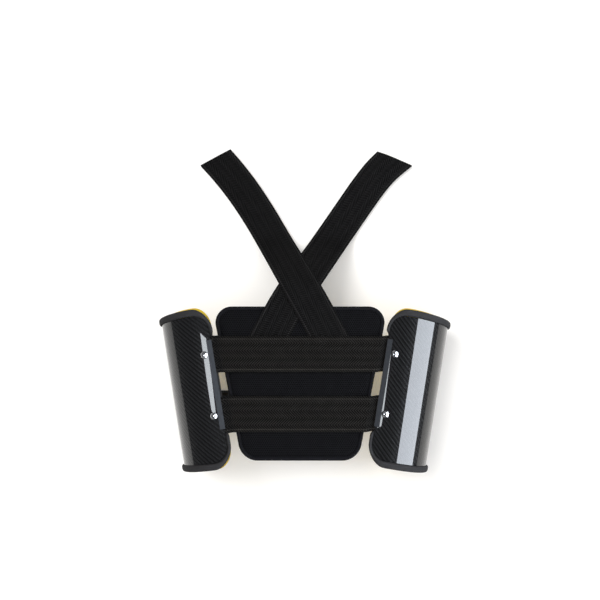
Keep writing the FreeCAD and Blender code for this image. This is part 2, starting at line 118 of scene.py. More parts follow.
def place_of(tree):
    """Coordinates in the shared frame, in metres."""
    return add(tree, "TexCoord", out=3)


def noise(tree, place, scale, detail=3.0):
    made = tree.nodes.new("ShaderNodeTexNoise")
    tree.links.new(place, made.inputs["Vector"])
    made.inputs["Scale"].default_value = scale
    made.inputs["Detail"].default_value = detail
    return made.outputs[0]


def blend_colours(tree, share, first, second):
    return add(tree, "MixRGB", share, (*first, 1.0), (*second, 1.0))


table_half = 6.0
table_mesh = bpy.data.meshes.new("table_top")
corner = [(-1, -1), (1, -1), (1, 1), (-1, 1)]
table_mesh.from_pydata([(x * table_half, y * table_half, 0.0) for x, y in corner], [], [(0, 1, 2, 3)])
table = bpy.data.objects.new("table_top", table_mesh)
bpy.context.collection.objects.link(table)
# A faint glow keeps the shadows beside the vest light.
table_finish, tree, shader = new_finish(
    "white_table", roughness=0.9, specular_ior_level=0.0, emission_color=(1.0, 0.99, 0.97, 1.0),
    emission_strength=0.18)
cloudy = noise(tree, place_of(tree), 2.0)
wire(tree, shader, blend_colours(tree, cloudy, (0.86, 0.86, 0.86), (0.89, 0.89, 0.89)))
table_mesh.materials.append(table_finish)

world = bpy.data.worlds.new("studio")
world.use_nodes = True
world.node_tree.nodes["Background"].inputs["Color"].default_value = (0.93, 0.96, 1.0, 1.0)
world.node_tree.nodes["Background"].inputs["Strength"].default_value = 0.16
bpy.context.scene.world = world


def studio_light(name, kind, place, aim, energy, colour=(1.0, 1.0, 1.0), glossy=False):
    """Lamp at a place, turned towards its aim; it shows either in gloss or on matt surfaces."""
    lamp = bpy.data.lights.new(name, kind)
    lamp.energy = energy
    lamp.color = colour
    made = bpy.data.objects.new(name, lamp)
    bpy.context.collection.objects.link(made)
    made.location = place
    made.rotation_mode = "QUATERNION"
    made.rotation_quaternion = (Vector(place) - Vector(aim)).to_track_quat("Z", "Y")
    made.visible_camera = False
    made.visible_glossy = glossy
    made.visible_diffuse = not glossy
    return lamp


def softbox(name, place, aim, width, length, radiance, colour=(1.0, 1.0, 1.0), glossy=False):
    """Rectangular light of a given brightness."""
    energy = radiance * math.pi * width * length
    lamp = studio_light(name, "AREA", place, aim, energy, colour, glossy)
    lamp.shape = "RECTANGLE"
    lamp.size = width
    lamp.size_y = length


gloss_radiance = 13.0
softbox("right_softbox", (1.063, -0.45, 0.906), (0.175, -0.45, 0.12), 3.2, 1.15, gloss_radiance,
        (0.86, 0.92, 1.0), True)
crown_y = panel_top - 0.141
softbox("edge_light", (-0.174, crown_y, 0.50), (-0.165, crown_y, 0.12), 0.17, 0.09, gloss_radiance,
        (0.9, 0.95, 1.0), True)
softbox("ceiling", (0.0, 0.0, 2.4), (0.0, 0.0, 0.0), 4.5, 4.5, 1.4, (1.0, 0.98, 0.95))
key = studio_light("key", "SUN", (-0.9, 0.7, 1.5), (0.0, 0.0, 0.0), 1.6, (1.0, 0.98, 0.95))
key.angle = math.radians(30.0)

# ==== Back panel ====
# Sandwich of honeycomb spacer mesh, foam and knitted lining, cut to a rounded trapezoid.
# The layers are sewn together round the edge under a folded binding tape.
top_half = 0.143
bottom_half = 0.095
panel_height = panel_high.y - panel_low.y
tape_width = 0.0025


def rounded_outline(corners, radii, step=0.004):
    """Closed outline with rounded corners, as evenly spaced points."""
    points = []
    count = len(corners)
    for i in range(count):
        here = Vector(corners[i])
        before = (Vector(corners[i - 1]) - here).normalized()
        after = (Vector(corners[(i + 1) % count]) - here).normalized()
        half = before.angle(after) / 2
        centre = here + (before + after).normalized() * (radii[i] / math.sin(half))
        start = here + before * (radii[i] / math.tan(half)) - centre
        end = here + after * (radii[i] / math.tan(half)) - centre
        pieces = max(4, round(radii[i] * start.angle(end) / step))
        for k in range(pieces + 1):
            mix = start.lerp(end, k / pieces)
            points.append(centre + mix.normalized() * radii[i])
    even = []
    for i, here in enumerate(points):
        after = points[(i + 1) % len(points)]
        pieces = max(1, round((after - here).length / step))
        even.extend(here.lerp(after, k / pieces) for k in range(pieces))
    return even


def grown(outline, reach):
    """The same outline moved outwards, for an outline that runs clockwise."""
    moved = []
    for i, here in enumerate(outline):
        along = (outline[(i + 1) % len(outline)] - outline[i - 1]).normalized()
        moved.append(here + Vector((-along.y, along.x)) * reach)
    return moved


def new_piece(name, points, faces, finish=None, weave=None):
    """Mesh object; weave holds each point's place along and across the cloth, in metres."""
    mesh = bpy.data.meshes.new(name)
    mesh.from_pydata([tuple(p) for p in points], [], faces)
    made = bpy.data.objects.new(name, mesh)
    bpy.context.collection.objects.link(made)
    rows = bmesh.new()
    rows.from_mesh(mesh)
    bmesh.ops.recalc_face_normals(rows, faces=rows.faces)
    rows.to_mesh(mesh)
    rows.free()
    if weave is not None:
        layer = mesh.attributes.new("weave", "FLOAT_VECTOR", "POINT")
        layer.data.foreach_set("vector", np.array(weave, np.float32).ravel())
    mesh.shade_smooth()
    if finish is not None:
        mesh.materials.append(finish)
    return made


def swept(name, rings, finish, weave=None, closed=False):
    """Skin over rings of points; open ends are capped."""
    count = len(rings[0])
    points = [p for ring in rings for p in ring]
    faces = []
    for i in range(len(rings) - (0 if closed else 1)):
        a, b = i * count, (i + 1) % len(rings) * count
        faces += [(a + k, a + (k + 1) % count, b + (k + 1) % count, b + k) for k in range(count)]
    if not closed:
        for cut in (range(count), range(len(points) - count, len(points))):
            faces.append(tuple(range(len(points), len(points) + count)))
            points += [points[k] for k in cut]
            if weave is not None:
                weave = list(weave) + [weave[k] for k in cut]
    return new_piece(name, points, faces, finish, weave)


def filled(name, loops, finish, weave=None):
    """Closed cushion from loops that shrink to a middle point at both ends."""
    count = len(loops[0])
    points = [p for loop in loops for p in loop]
    faces = []
    for i in range(len(loops) - 1):
        a, b = i * count, (i + 1) * count
        faces += [(a + k, a + (k + 1) % count, b + (k + 1) % count, b + k) for k in range(count)]
    for loop, start in ((loops[0], 0), (loops[-1], len(points) - count)):
        points.append(sum((Vector(p) for p in loop), Vector((0, 0, 0))) / count)
        faces += [(start + k, start + (k + 1) % count, len(points) - 1) for k in range(count)]
    return new_piece(name, points, faces, finish, weave)


def swell(piece, voxel, pressure, cap):
    """Remeshes a pad, blows it up softly for 20 frames and holds each point within the cap."""
    bpy.context.view_layer.objects.active = piece
    skin = piece.modifiers.new("skin", "REMESH")
    skin.mode = "VOXEL"
    skin.voxel_size = voxel
    skin.use_smooth_shade = True
    bpy.ops.object.modifier_apply(modifier=skin.name)
    rest = np.array([v.co for v in piece.data.vertices])
    air = piece.modifiers.new("air", "CLOTH")
    air.settings.quality = 4
    air.settings.use_pressure = True
    air.settings.uniform_pressure_force = pressure
    air.settings.effector_weights.gravity = 0.0
    scene = bpy.context.scene
    for step in range(1, 21):
        scene.frame_set(step)
    bpy.ops.object.modifier_apply(modifier=air.name)
    scene.frame_set(1)
    blown = np.array([v.co for v in piece.data.vertices])
    moved = blown - rest
    length = np.maximum(np.linalg.norm(moved, axis=1), 1e-9)
    blown = rest + moved * np.minimum(1.0, cap / length)[:, None]
    piece.data.vertices.foreach_set("co", blown.astype(np.float32).ravel())
    relax = piece.modifiers.new("relax", "SMOOTH")
    relax.factor = 0.5
    relax.iterations = 3
    bpy.ops.object.modifier_apply(modifier=relax.name)
    finer = piece.modifiers.new("finer", "SUBSURF")
    finer.levels = finer.render_levels = 1
    piece.data.shade_smooth()


def hexagons(tree, place, pitch):
    """Rounded dots on a hexagonal net: 1 in the middle of a dot, 0 on the threads between."""
    wave = 4 * math.pi / (math.sqrt(3) * pitch)
    total = None
    for turn in (30.0, 90.0, 150.0):
        a = math.radians(turn)
        along = add(tree, "VectorMath", place, (math.cos(a) * wave, math.sin(a) * wave, 0.0),
                    operation="DOT_PRODUCT", out=1)
        part = sums(tree, "COSINE", along)
        total = part if total is None else sums(tree, "ADD", total, part)
    return add(tree, "MapRange", total, -0.2, 1.4, 0.0, 1.0, interpolation_type="SMOOTHSTEP")


mesh_pitch = 0.0036
mesh_finish, tree, shader = new_finish(
    "spacer_mesh", roughness=0.85, specular_ior_level=0.02)
place = place_of(tree)
open_cells_painted_shade = hexagons(tree, place, mesh_pitch)
cloudy = noise(tree, place, 45.0)
threads = blend_colours(tree, cloudy, (0.0058, 0.0060, 0.0074), (0.0090, 0.0093, 0.0110))
# The open cells are painted almost black: painted shade inside the mesh's holes, which the bump also sinks.
colour = add(tree, "MixRGB", open_cells_painted_shade, threads, (0.0001, 0.0001, 0.0002, 1.0))
yarn = noise(tree, place, 2600.0, 1.0)
height = sums(tree, "SUBTRACT", sums(tree, "MULTIPLY", yarn, 0.12), open_cells_painted_shade)
wire(tree, shader, colour, None, height, 0.0009)

panel_corners = [(-top_half, 0.0), (top_half, 0.0),
                 (bottom_half, -panel_height), (-bottom_half, -panel_height)]
panel_centre = Vector((panel_middle, panel_top))
panel_edge = [p + panel_centre for p in rounded_outline(panel_corners, [0.024, 0.024, 0.030, 0.030])]
lining_low, lining_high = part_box("panel_lining")
core_middle = Vector((panel_middle, panel_top - panel_height / 2))


def loop_at(outline, reach, share, z):
    """The outline moved outwards by reach, then shrunk towards the panel's middle."""
    return [(*(core_middle + (p - core_middle) * share), z) for p in grown(outline, reach)]


pillow = [  # reach, share, drop below the top
    (0.0, 0.25, 0.0004), (0.0, 0.5, 0.0004), (0.0, 0.75, 0.0004), (0.0, 0.88, 0.0005), (-0.010, 1.0, 0.0006),
    (-0.006, 1.0, 0.0010), (-0.003, 1.0, 0.0019), (-0.001, 1.0, 0.0034), (-0.0004, 1.0, 0.0050)]
loops = [loop_at(panel_edge, reach, share, panel_high.z - drop) for reach, share, drop in pillow]
loops += [loop_at(panel_edge, reach, share, lining_high.z + 0.0002)
          for reach, share in ((-0.0006, 1.0), (0.0, 0.9), (0.0, 0.6), (0.0, 0.3))]
cushion = filled("panel_cushion", loops, mesh_finish)
swell(cushion, 0.004, 3.0, 0.0009)
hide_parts("panel_mesh", "panel_foam")
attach(cushion, "back_panel")

knit_finish, tree, shader = new_finish(
    "inner_lining", roughness=0.8, specular_ior_level=0.2, sheen_weight=0.2)
place = place_of(tree)
rows = sums(tree, "SINE", sums(tree, "MULTIPLY", add(tree, "SeparateXYZ", place), 2 * math.pi / 0.0011))
rough = noise(tree, place, 900.0)
wire(tree, shader, blend_colours(tree, rough, (0.022, 0.022, 0.025), (0.045, 0.045, 0.05)), None,
     sums(tree, "ADD", rows, rough), 0.0002)
loops = [loop_at(panel_edge, reach, share, lining_high.z - drop) for reach, share, drop in (
    (0.0, 0.3, 0.0), (0.0, 0.7, 0.0), (-0.0006, 1.0, 0.0001), (-0.0002, 1.0, 0.0008), (-0.0012, 1.0, 0.0014),
    (-0.006, 1.0, 0.0015), (0.0, 0.8, 0.0015), (0.0, 0.4, 0.0015))]
back_lining = filled("panel_back_lining", loops, knit_finish)
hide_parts("panel_lining")
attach(back_lining, "back_panel")


stitch_pitch = 0.0035


def woven(name, colours, rib, twill, depth, seams=None, **sockets):
    """Woven tape: cross ribs with small V shapes, their grooves painted darker as painted shade; seams gives
    its width and its sewn rows' inset.
    """
    finish, tree, shader = new_finish(name, **sockets)
    cloth = add(tree, "Attribute", attribute_name="weave", out=1)
    spread = tree.nodes.new("ShaderNodeSeparateXYZ")
    tree.links.new(cloth, spread.inputs[0])
    along, across = spread.outputs[0], spread.outputs[1]
    fold = sums(tree, "PINGPONG", across, twill)
    ribs = sums(tree, "SINE", sums(tree, "MULTIPLY", sums(tree, "ADD", along, fold), 2 * math.pi / rib))
    cords = sums(tree, "SINE", sums(tree, "MULTIPLY", across, 2 * math.pi / twill))
    grain = noise(tree, cloth, 1500.0)
    broad = noise(tree, cloth, 60.0)
    weave = sums(tree, "ADD", sums(tree, "MULTIPLY", ribs, 0.5), sums(tree, "MULTIPLY", cords, 0.12))
    # Painted shade: the colour follows the rib wave, darker in the grooves and lighter on the crests, like the
    # bump.
    share = sums(tree, "ADD", sums(tree, "MULTIPLY", weave, 1.1),
                 sums(tree, "ADD", sums(tree, "MULTIPLY", grain, 0.5), sums(tree, "MULTIPLY", broad, 0.4)))
    colour = blend_colours(tree, share, *colours)
    if seams is not None:
        width, inset = seams
        from_edge = sums(tree, "PINGPONG", across, width / 2)
        row = sums(tree, "COMPARE", from_edge, inset, 0.0006)
        beat = sums(tree, "SINE", sums(tree, "MULTIPLY", along, 2 * math.pi / stitch_pitch))
        stitch = sums(tree, "GREATER_THAN", beat, -0.5)
        thread = (*(value * 2.2 for value in colours[1]), 1.0)
        colour = add(tree, "MixRGB", sums(tree, "MULTIPLY", row, stitch), colour, thread)
    wire(tree, shader, colour, None, sums(tree, "ADD", weave, sums(tree, "MULTIPLY", grain, 0.8)), depth)
    return finish


# The first colour of each woven tape, here and below, is the painted shade of its rib grooves.
tape_finish = woven("binding_tape", ((0.0025, 0.0025, 0.0035), (0.0095, 0.0095, 0.0120)),
                    0.0012, 0.0024, 0.0002, roughness=0.8, specular_ior_level=0.05)
tape_middle = (panel_high.z + lining_low.z) / 2
tape_half = (panel_high.z - lining_low.z) / 2
rings, weave = [], []
along = 0.0
spots = 16
for i, here in enumerate(panel_edge):
    after = panel_edge[(i + 1) % len(panel_edge)]
    out = Vector((-(after - here).y, (after - here).x)).normalized()
    ring = []
    for k in range(spots):
        a = 2 * math.pi * k / spots
        reach = math.cos(a) * tape_width * 1.35 - tape_width * 0.35
        squeeze = abs(math.sin(a)) ** 0.6 * math.copysign(1, math.sin(a))
        spot = here + out * reach
        ring.append((spot.x, spot.y, tape_middle + squeeze * tape_half * (0.99 if reach > -0.002 else 0.9)))
        weave.append((along, k * 0.0018, 0.0))
    rings.append(ring)
    along += (after - here).length
tape = swept("panel_edge_tape", rings, tape_finish, weave, closed=True)
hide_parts("panel_binding")
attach(tape, "back_panel")

# ==== Shoulder straps ====
# Two wide ribbed elastic straps, sewn down under the upper back band and crossed behind the neck.
# Each falls over the shoulder to the table and is folded under itself; its end carries hook tape.
strap_width = 0.060
strap_thick = 0.002
sewn_y = panel_top - 0.104
straps = {
    "left": dict(start=0.079, heading=28.3, path=((0.290, 2.2), (0.060, 4.0), (0.088, 8.5)), skew=-14.5),
    "right": dict(start=-0.082, heading=-28.6, skew=28.0,
                  path=((0.105, 0.0), (0.060, -6.0), (0.190, 0.0), (0.040, -3.0), (0.056, -14.0))),
}
floor_mid = {"left": 0.0082, "right": 0.0056}
front_mid = 0.0032
leave_y = panel_top + 0.0085
leave_mid = {side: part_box("strap_run_" + side)[1].z - strap_thick / 2 - 0.0003 for side in straps}
base_mid = {side: sum(b.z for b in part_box("strap_base_" + side)) / 2 for side in straps}
droop_radius = 0.050
droop_turn = math.radians(50.0)


def strap_height(side, y):
    """Middle height of a strap at a given Y, and its slope: over the edge, down and along the table."""
    top, low = leave_mid[side], floor_mid[side]
    lift = floor_mid[side] - floor_mid["right"]
    first, second = droop_radius + lift, droop_radius - lift
    sine, cosine = math.sin(droop_turn), math.cos(droop_turn)
    drop = top - low - (first + second) * (1 - cosine)
    y1 = leave_y + 0.002
    y2 = y1 + first * sine
    y3 = y2 + drop / sine * cosine
    y4 = y3 + second * sine
    if y < leave_y - 0.006:
        return base_mid[side], 0.0
    if y < y1:
        return top, 0.0
    if y < y2:
        a = math.asin((y - y1) / first)
        return top - first * (1 - math.cos(a)), -math.tan(a)
    if y < y3:
        return top - first * (1 - cosine) - (y - y2) * sine / cosine, -sine / cosine
    if y < y4:
        a = math.asin((y4 - y) / second)
        return low + second * (1 - math.cos(a)), -math.tan(a)
    return low, 0.0


def strap_track(side, step=0.004):
    """Centre line of a strap seen from above: length so far, place and heading, past its fold line."""
    plan = straps[side]
    angle = math.radians(90.0 + plan["heading"])
    here = Vector((panel_middle + plan["start"], sewn_y))
    travelled = 0.0
    track = [(0.0, here.copy(), angle)]
    for length, turn in plan["path"] + ((0.060, 0.0),):
        pieces = round(length / step)
        for _ in range(pieces):
            middle = angle + math.radians(turn) / pieces / 2
            here = here + Vector((math.cos(middle), math.sin(middle))) * (length / pieces)
            angle += math.radians(turn) / pieces
            travelled += length / pieces
            track.append((travelled, here.copy(), angle))
    return track


def track_at(track, length):
    """Place and heading on a centre line at a length; before its start it runs straight on."""
    last = len(track) - 2
    i = min(last, max(0, next((k for k, row in enumerate(track) if row[0] > length), last + 1) - 1))
    (low, a, turn_a), (high, b, turn_b) = track[i], track[i + 1]
    share = (length - low) / (high - low)
    return a.lerp(b, share) if share >= 0 else a + (b - a) * share, turn_a + (turn_b - turn_a) * share


def ease(share):
    share = max(0.0, min(1.0, share))
    return share * share * (3 - 2 * share)


def strip_section(width, thick):
    """Points round a flat woven strip with soft edges: place across and height."""
    half = width / 2
    beside = (0.2, 0.4, 0.6, 0.8, 0.95, 0.985)
    shares = [-share for share in reversed(beside)] + [0.0] + list(beside)
    upper = [(half * share, thick / 2 * (0.75 if abs(share) > 0.97 else 1.0)) for share in shares]
    lower = [(across, -lift) for across, lift in reversed(upper)]
    return [(-half, 0.0)] + upper + [(half, 0.0)] + lower


strap_finish = woven("strap_elastic", ((0.0001, 0.0001, 0.0001), (0.0115, 0.0112, 0.0116)),
                     0.0040, 0.0100, 0.0005, seams=(strap_width, 0.004), roughness=0.8, specular_ior_level=0.03)
hook_finish, tree, shader = new_finish("hook_tape", roughness=0.5, specular_ior_level=0.35)
cells = tree.nodes.new("ShaderNodeTexVoronoi")
tree.links.new(place_of(tree), cells.inputs["Vector"])
cells.inputs["Scale"].default_value = 900.0
wire(tree, shader, blend_colours(tree, cells.outputs[0], (0.045, 0.045, 0.05), (0.008, 0.008, 0.009)), None,
     cells.outputs[0], 0.0008)
joint_of = {joint["name"]: joint for joint in frame["joints"]}
front_length = 0.150
upper_low, upper_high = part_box("upper_band")
sewn_end_y = upper_low.y + 0.002

for side, plan in straps.items():
    section = strip_section(strap_width, strap_thick)
    track = strap_track(side)
    whole = sum(length for length, _ in plan["path"])
    skew = math.tan(math.radians(plan["skew"]))
    first_turn = math.radians(90.0 + plan["heading"])

    def strap_spot(length, across, slant):
        """Place beside a strap's centre line; a slant of 1 runs along the fold line."""
        shifted, heading = track_at(track, length + across * skew * slant)
        return shifted + Vector((math.sin(heading), -math.cos(heading))) * across

    rings, weave = [], []
    steps = 110
    for k in range(steps + 1):
        length = whole * k / steps
        slant = ease((length - whole + 0.100) / 0.100)
        square = 1 - ease(length / 0.060)
        ring = []
        for across, lift in section:
            # The sewn end is cut along the band that covers it.
            cut = (sewn_end_y - sewn_y + across * math.cos(first_turn)) / math.sin(first_turn)
            spot = strap_spot(length + cut * square, across, slant)
            z, slope = strap_height(side, spot.y)
            normal = Vector((0.0, -slope, 1.0)).normalized()
            ring.append((spot.x, spot.y + normal.y * lift, z + normal.z * lift))
            weave.append((length, across + strap_width / 2, 0.0))
        rings.append(ring)
    run = swept("strap_" + side, rings, strap_finish, weave)
    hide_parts("strap_base_" + side, "strap_run_" + side)
    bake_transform(run)

    fold_place, fold_turn = track_at(track, whole)
    fold_turn += math.radians(plan["skew"])
    onwards = Vector((math.cos(fold_turn), math.sin(fold_turn), 0.0))
    top_z = floor_mid[side]
    radius = (top_z - front_mid) / 2
    bends = 12
    stations = [(whole, math.pi * k / bends) for k in range(bends + 1)]
    stations += [(whole - front_length * k / 38, math.pi) for k in range(1, 39)]
    rings, weave = [], []
    cloth = whole
    for i, (length, tip) in enumerate(stations):
        if i:
            cloth += abs(length - stations[i - 1][0]) + radius * abs(tip - stations[i - 1][1])
        ring = []
        normal = Vector((0, 0, 1)) * math.cos(tip) + onwards * math.sin(tip)
        for across, lift in section:
            spot = strap_spot(length, across, 1.0)
            ahead = onwards * (radius * math.sin(tip))
            z = (top_z + front_mid) / 2 + radius * math.cos(tip)
            ring.append(tuple(Vector((spot.x, spot.y, z)) + ahead + normal * lift))
            weave.append((cloth, across + strap_width / 2, 0.0))
        rings.append(ring)
    front = swept("strap_end_" + side, rings, strap_finish, weave)
    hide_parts("strap_front_" + side)
    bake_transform(front)

    tab_low, tab_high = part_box("strap_hook_tab_" + side)
    tab_mid = (tab_low.z + tab_high.z) / 2
    rings = []
    for k in range(16):
        length = whole - front_length + 0.0015 + 0.057 * k / 15
        ring = []
        for across, lift in strip_section(strap_width - 0.003, 0.0019):
            spot = strap_spot(length, across, 1.0)
            ring.append((spot.x, spot.y, tab_mid + lift))
        rings.append(ring)
    tab = swept("strap_hook_tape_" + side, rings, hook_finish)
    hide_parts("strap_hook_tab_" + side)
    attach(tab, "strap_end_" + side)

# ==== Back bands ====
# Two bands of ribbed elastic run across the panel and hold the side shells.
# Each end goes under a shell's inner edge and is clamped there by the riveted strip.
band_width = 0.060
band_thick = 0.0025
band_finish = woven("band_elastic", ((0.0001, 0.0001, 0.0001), (0.0180, 0.0170, 0.0160)),
                    0.0044, 0.0120, 0.0006, seams=(band_width, 0.005), roughness=0.8, specular_ior_level=0.03)
hinge_radius = 0.06695       # of the arch at the bands' middle layer
clamped_length = 0.026        # of each band end under the shell
sags = {"upper": 0.0016, "lower": 0.0024}
edge_turn = {"left": math.radians(12.0), "right": math.radians(28.0)}
outwards = {"left": -1.0, "right": 1.0}


def shell_frame(side):
    """A shell's arch: its centre beside the rivets' middle, its long direction and its outward one."""
    joint = joint_of[f"shell_{side}_fold"]
    axis = Vector(joint["axis"])
    axis = axis if axis.y > 0 else -axis
    across = Vector((axis.y, -axis.x, 0.0)) * outwards[side]
    low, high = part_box("rivets_" + side)
    pin = Vector(joint["pos_m"])
    middle = pin + axis * ((low + high) / 2 - pin).dot(axis)
    turn = edge_turn[side]
    centre = middle + (across * math.sin(turn) - Vector((0, 0, math.cos(turn)))) * hinge_radius
    return centre, axis, across


arches = {side: shell_frame(side) for side in outwards}


def shell_place(side, angle, radius, v):
    """Point on a shell's arch: angle from the vertical outwards, v along it from the rivets' middle."""
    centre, axis, across = arches[side]
    return centre + axis * v + (across * math.sin(angle) + Vector((0, 0, math.cos(angle)))) * radius


def strap_cover(x, y):
    """How many strap layers lie under a point, with soft edges."""
    layers = 0.0
    for side, plan in straps.items():
        angle = math.radians(90.0 + plan["heading"])
        offset = Vector((x - panel_middle - plan["start"], y - sewn_y))
        beside = abs(offset.dot(Vector((math.sin(angle), -math.cos(angle)))))
        ahead = offset.dot(Vector((math.cos(angle), math.sin(angle))))
        edge = max(0.0, min(1.0, (strap_width / 2 + 0.0012 - beside) / 0.003))
        end = max(0.0, min(1.0, (ahead + 0.0012) / 0.003))
        layers += edge * edge * (3 - 2 * edge) * end * end * (3 - 2 * end)
    return layers


for level in ("upper", "lower"):
    low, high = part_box(level + "_band")
    centre_y = (low.y + high.y) / 2
    flat_z = (low.z + high.z) / 2
    for side in ("left", "right"):
        section = strip_section(band_width, band_thick)
        rows = []
        for across, lift in section:
            y = centre_y + across
            # Where this row of threads meets the shell's edge.
            probe = shell_place(side, -edge_turn[side], hinge_radius, 0.0)
            axis = shell_place(side, -edge_turn[side], hinge_radius, 1.0) - probe
            v = (y - probe.y) / axis.y
            edge = shell_place(side, -edge_turn[side], hinge_radius, v)
            tangent = shell_place(side, -edge_turn[side] + 0.01, hinge_radius, v) - edge
            tangent.normalize()
            side_x = panel_middle + outwards[side] * (top_half + (top_half - bottom_half)
                                                      * (y - panel_top) / panel_height)
            row = []
            for k in range(34):
                x = panel_middle + (side_x - panel_middle) * k / 33
                cover = strap_cover(x, y) if level == "upper" else 0.0
                near_edge = (k / 33) ** 6
                held_up = min(1.0, cover / 2 + (0.25 if cover > 0.5 else 0.0))
                z = flat_z - sags[level] * (1 - held_up) * (1 - near_edge * 0.6)
                row.append(Vector((x, y, z)))
            start = row[-1]
            reach = (edge - start).length
            pull = Vector((outwards[side], 0.0, 0.0)) * reach * 0.45
            for k in range(1, 13):
                t = k / 12
                a, b = start + pull, edge - tangent * reach * 0.45
                row.append(start * (1 - t) ** 3 + a * 3 * t * (1 - t) ** 2
                           + b * 3 * t * t * (1 - t) + edge * t ** 3)
            for k in range(1, 6):
                turn = clamped_length / hinge_radius * k / 5
                row.append(shell_place(side, -edge_turn[side] + turn, hinge_radius, v))
            rows.append((row, lift, across))
        rings, weave = [], []
        for i in range(len(rows[0][0])):
            ring = []
            for row, lift, across in rows:
                before = row[max(i - 1, 0)]
                after = row[min(i + 1, len(row) - 1)]
                run_on = (after - before).normalized()
                normal = Vector((-run_on.z, 0.0, run_on.x)) * outwards[side]
                normal.normalize()
                ring.append(tuple(row[i] + normal * lift))
                weave.append((row[i].x, across + band_width / 2, 0.0))
            rings.append(ring)
        band = swept(f"{level}_band_{side}", rings, band_finish, weave)
        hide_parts(level + "_band", f"{level}_band_flex_{side}", f"{level}_band_end_{side}")
        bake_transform(band)

# ==== Side shells ====
# Curved plates of woven carbon composite under a clear gloss coat, one on each side of the ribs.
# They are moulded as one arch with rounded corners, and their cut edges are sanded and sealed.
tow = 0.002
shell_radius = 0.0716
lean = math.radians(9.0)

for side in ("left", "right"):
    finish, tree, shader = new_finish(
        "carbon_twill_" + side, roughness=0.45, specular_ior_level=0.05, coat_weight=1.0,
        coat_roughness=0.025, coat_ior=1.5, metallic=0.0)
    place = place_of(tree)
    axis = shell_place(side, 0.0, 0.0, 1.0) - shell_place(side, 0.0, 0.0, 0.0)
    across = Vector((axis.y, -axis.x, 0.0)) * outwards[side]
    centre = shell_place(side, 0.0, 0.0, 0.0)
    local = add(tree, "VectorMath", place, tuple(centre), operation="SUBTRACT")
    sideways = add(tree, "VectorMath", local, tuple(across), operation="DOT_PRODUCT", out=1)
    upwards = add(tree, "VectorMath", local, (0.0, 0.0, 1.0), operation="DOT_PRODUCT", out=1)
    along = add(tree, "VectorMath", local, tuple(axis), operation="DOT_PRODUCT", out=1)
    arc = sums(tree, "MULTIPLY", sums(tree, "ARCTAN2", sideways, upwards), shell_radius)
    u = sums(tree, "DIVIDE", arc, tow)
    w = sums(tree, "DIVIDE", along, tow)
    step_u, step_w = sums(tree, "FLOOR", u), sums(tree, "FLOOR", w)
    diagonal = sums(tree, "SUBTRACT" if side == "left" else "ADD", step_u, step_w)
    over = sums(tree, "LESS_THAN", sums(tree, "FLOORED_MODULO", diagonal, 4.0), 2.0)
    bulge_u = sums(tree, "SINE", sums(tree, "MULTIPLY", sums(tree, "FRACT", u), math.pi))
    bulge_w = sums(tree, "SINE", sums(tree, "MULTIPLY", sums(tree, "FRACT", w), math.pi))
    bulge = sums(tree, "ADD", sums(tree, "MULTIPLY", over, bulge_u),
                 sums(tree, "MULTIPLY", sums(tree, "SUBTRACT", 1.0, over), bulge_w))
    grain = noise(tree, place, 1200.0)
    # The tows on top are painted lighter and those beneath darker: a painted reflection of the weave, whose
    # fibres are all one black.
    bright = blend_colours(tree, grain, (0.014, 0.0147, 0.017), (0.026, 0.0268, 0.030))
    painted_shaded_tows = blend_colours(tree, grain, (0.0005, 0.0005, 0.0006), (0.0014, 0.0014, 0.0016))
    weave_painted_reflection = add(tree, "MixRGB", over, painted_shaded_tows, bright)
    # Painted shade: each tow is painted darker towards its sides, following its bulge.
    shade = add(tree, "MixRGB", sums(tree, "MULTIPLY", bulge, 0.6), (0.0012, 0.0012, 0.0014, 1.0),
                weave_painted_reflection)
    wire(tree, shader, shade, add(tree, "MapRange", over, 0.0, 1.0, 0.42, 0.30), bulge, 0.00012)
    shell = frame["nodes"]["carbon_shell_" + side]
    for slot in shell.material_slots:
        slot.material = finish

# ==== Soft rims, pads and bright lining of the shells ====
# Fabric-covered foam runs round each shell's cut edge and stands a little proud of it.
# Inside, a foam pad follows the arch, covered with a bright yellow knitted lining.
rim_width = 0.012
rim_inner_width = 0.0065
rim_stand = 0.004
pad_inner = 0.0584
shell_top_v = 0.014 + 0.1009
shell_bottom_v = shell_top_v - 0.2405
inner_turn = math.radians(12.0)
inner_arc = inner_turn * shell_radius
front_arc = math.radians(138.0) * shell_radius
top_slope, bottom_slope = 0.146, 0.094


def edge_v(base, slope, arc):
    return base + slope * shell_radius * (math.cos(arc / shell_radius) - 1)


def shell_outline(grow=0.0, grow_inner=None, step=0.004):
    """Outline of a shell on the flattened arch: distance round it from the crown, and along it."""
    inner = grow if grow_inner is None else grow_inner
    u0, u1 = -inner_arc - inner, front_arc + grow
    points = []
    ends = ((shell_top_v + grow, top_slope), (shell_bottom_v - grow, bottom_slope))
    pieces = 14
    top_row = [(u0 + (u1 - u0) * k / pieces) for k in range(pieces + 1)]
    corners = [(u, edge_v(*ends[0], u)) for u in top_row]
    corners += [(u, edge_v(*ends[1], u)) for u in reversed(top_row)]
    inner_radius, front_radius = 0.025 + inner, 0.030 + grow
    radii = []
    for i, (u, v) in enumerate(corners):
        ends_at = i in (0, pieces, pieces + 1, 2 * pieces + 1)
        radii.append(0.0 if not ends_at else inner_radius if i in (0, 2 * pieces + 1) else front_radius)
    kept, kept_radii = [], []
    for i, (u, v) in enumerate(corners):
        near = radii[i] == 0.0 and (u < u0 + inner_radius * 1.15 or u > u1 - front_radius * 1.25)
        if not near:
            kept.append((u, v))
            kept_radii.append(radii[i])
    kept_radii = [r if r else 0.004 for r in kept_radii]
    return rounded_outline(kept, kept_radii, step)


def on_shell(side, spot, radius):
    """World place of a point of the flattened arch, at a radius."""
    opening = edge_turn[side] - inner_turn
    return shell_place(side, spot.x / shell_radius - opening, radius, spot.y)


